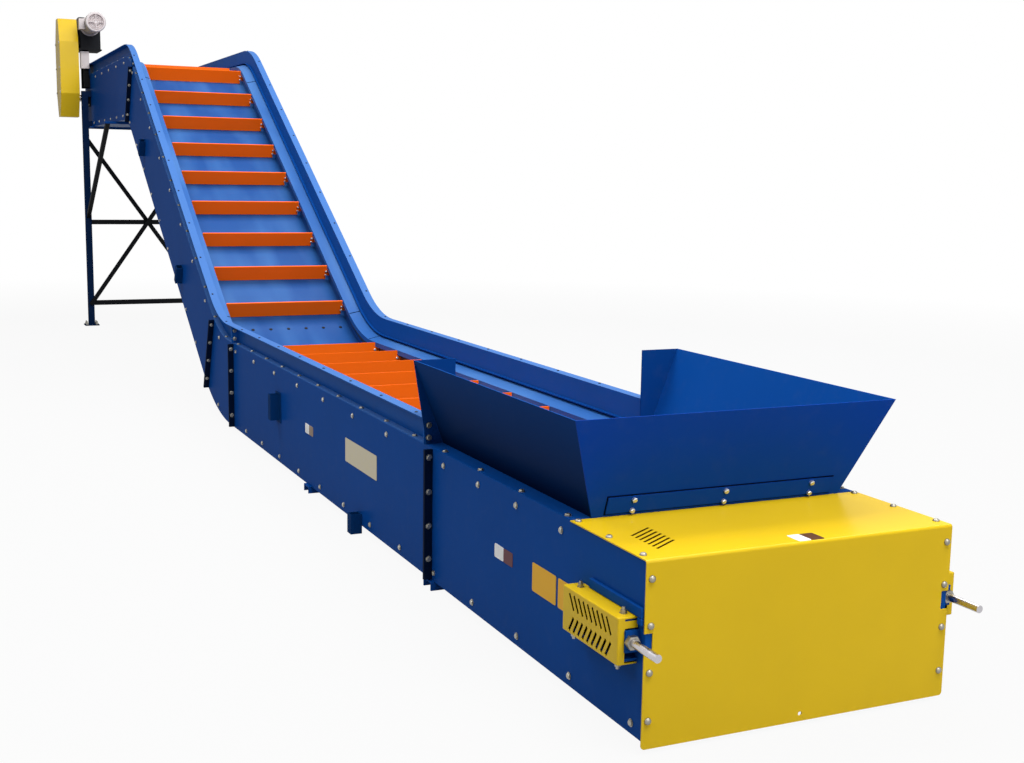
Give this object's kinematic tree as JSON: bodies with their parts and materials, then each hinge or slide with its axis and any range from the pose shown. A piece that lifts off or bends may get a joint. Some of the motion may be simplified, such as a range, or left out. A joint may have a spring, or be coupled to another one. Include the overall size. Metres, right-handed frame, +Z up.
{
  "type": "drag chain conveyor",
  "caption": "Chain conveyor with a hopper over its level tail, an inclined trough and a level head on a braced stand with a motor, reducer and guarded drive.",
  "frame": {"origin": "on the floor under the middle of the tail shaft, at the sole of the tail foot", "axes": "+Y from the tail towards the discharge head, +X to the right seen along +Y with the drive on the left, +Z up"},
  "size_m": [1.605, 12.786, 3.353],
  "materials": {
    "trough_blue": "satin",
    "pan_blue": "satin",
    "flight_orange": "satin",
    "guard_yellow": "satin",
    "brace_dark": "satin",
    "motor_grey": "satin",
    "cowl_grey": "satin",
    "cast_housing": "matte",
    "chain_steel": "satin",
    "bright_steel": "satin"
  },
  "bodies": {
    "conveyor": {"bottom_pan_head": "pan_blue", "bottom_pan_incline": "pan_blue", "bottom_pan_level": "pan_blue", "carry_pan_head": "pan_blue", "carry_pan_incline": "pan_blue", "carry_pan_level": "pan_blue", "chain_covers": "pan_blue", "chain_guard": "guard_yellow", "chain_left": "chain_steel", "chain_right": "chain_steel", "discharge_flange": "trough_blue", "drive_pedestal": "brace_dark", "fan_cowl": "cowl_grey", "flights_head": "flight_orange", "flights_incline": "flight_orange", "flights_level": "flight_orange", "flights_return": "flight_orange", "head_bearer": "trough_blue", "head_bearings": "cast_housing", "head_cover": "brace_dark", "head_end_plate": "trough_blue", "head_shaft": "bright_steel", "head_wheels": "chain_steel", "hopper_wall_left": "trough_blue", "hopper_wall_right": "trough_blue", "hopper_wall_tail": "trough_blue", "hopper_wings": "trough_blue", "knee_braces": "brace_dark", "leg_left": "trough_blue", "leg_right": "trough_blue", "motor": "motor_grey", "reducer": "brace_dark", "return_tracks": "trough_blue", "side_plate_bend_left": "trough_blue", "side_plate_bend_right": "trough_blue", "side_plate_head_left": "trough_blue", "side_plate_head_right": "trough_blue", "side_plate_incline_left": "trough_blue", "side_plate_incline_right": "trough_blue", "side_plate_level_left": "trough_blue", "side_plate_level_right": "trough_blue", "side_plate_tail_left": "trough_blue", "side_plate_tail_right": "trough_blue", "skids": "trough_blue", "skirts_head": "trough_blue", "skirts_incline": "trough_blue", "skirts_level": "trough_blue", "stand_braces": "brace_dark", "stand_cross_bars": "trough_blue", "stand_pockets": "trough_blue", "switch_box": "motor_grey", "tail_foot": "trough_blue", "tail_guard": "guard_yellow", "takeup_frames": "trough_blue", "takeup_guards": "guard_yellow", "takeup_nuts": "bright_steel"},
    "takeup": {"tail_shaft": "bright_steel", "tail_wheels": "chain_steel", "takeup_bearings": "cast_housing", "takeup_rods": "bright_steel"}
  },
  "joints": [
    {"name": "takeup_slide", "type": "slide", "parent": "conveyor", "child": "takeup", "axis": [0, 1, 0], "range_m": [0, 0.06]}
  ]
}
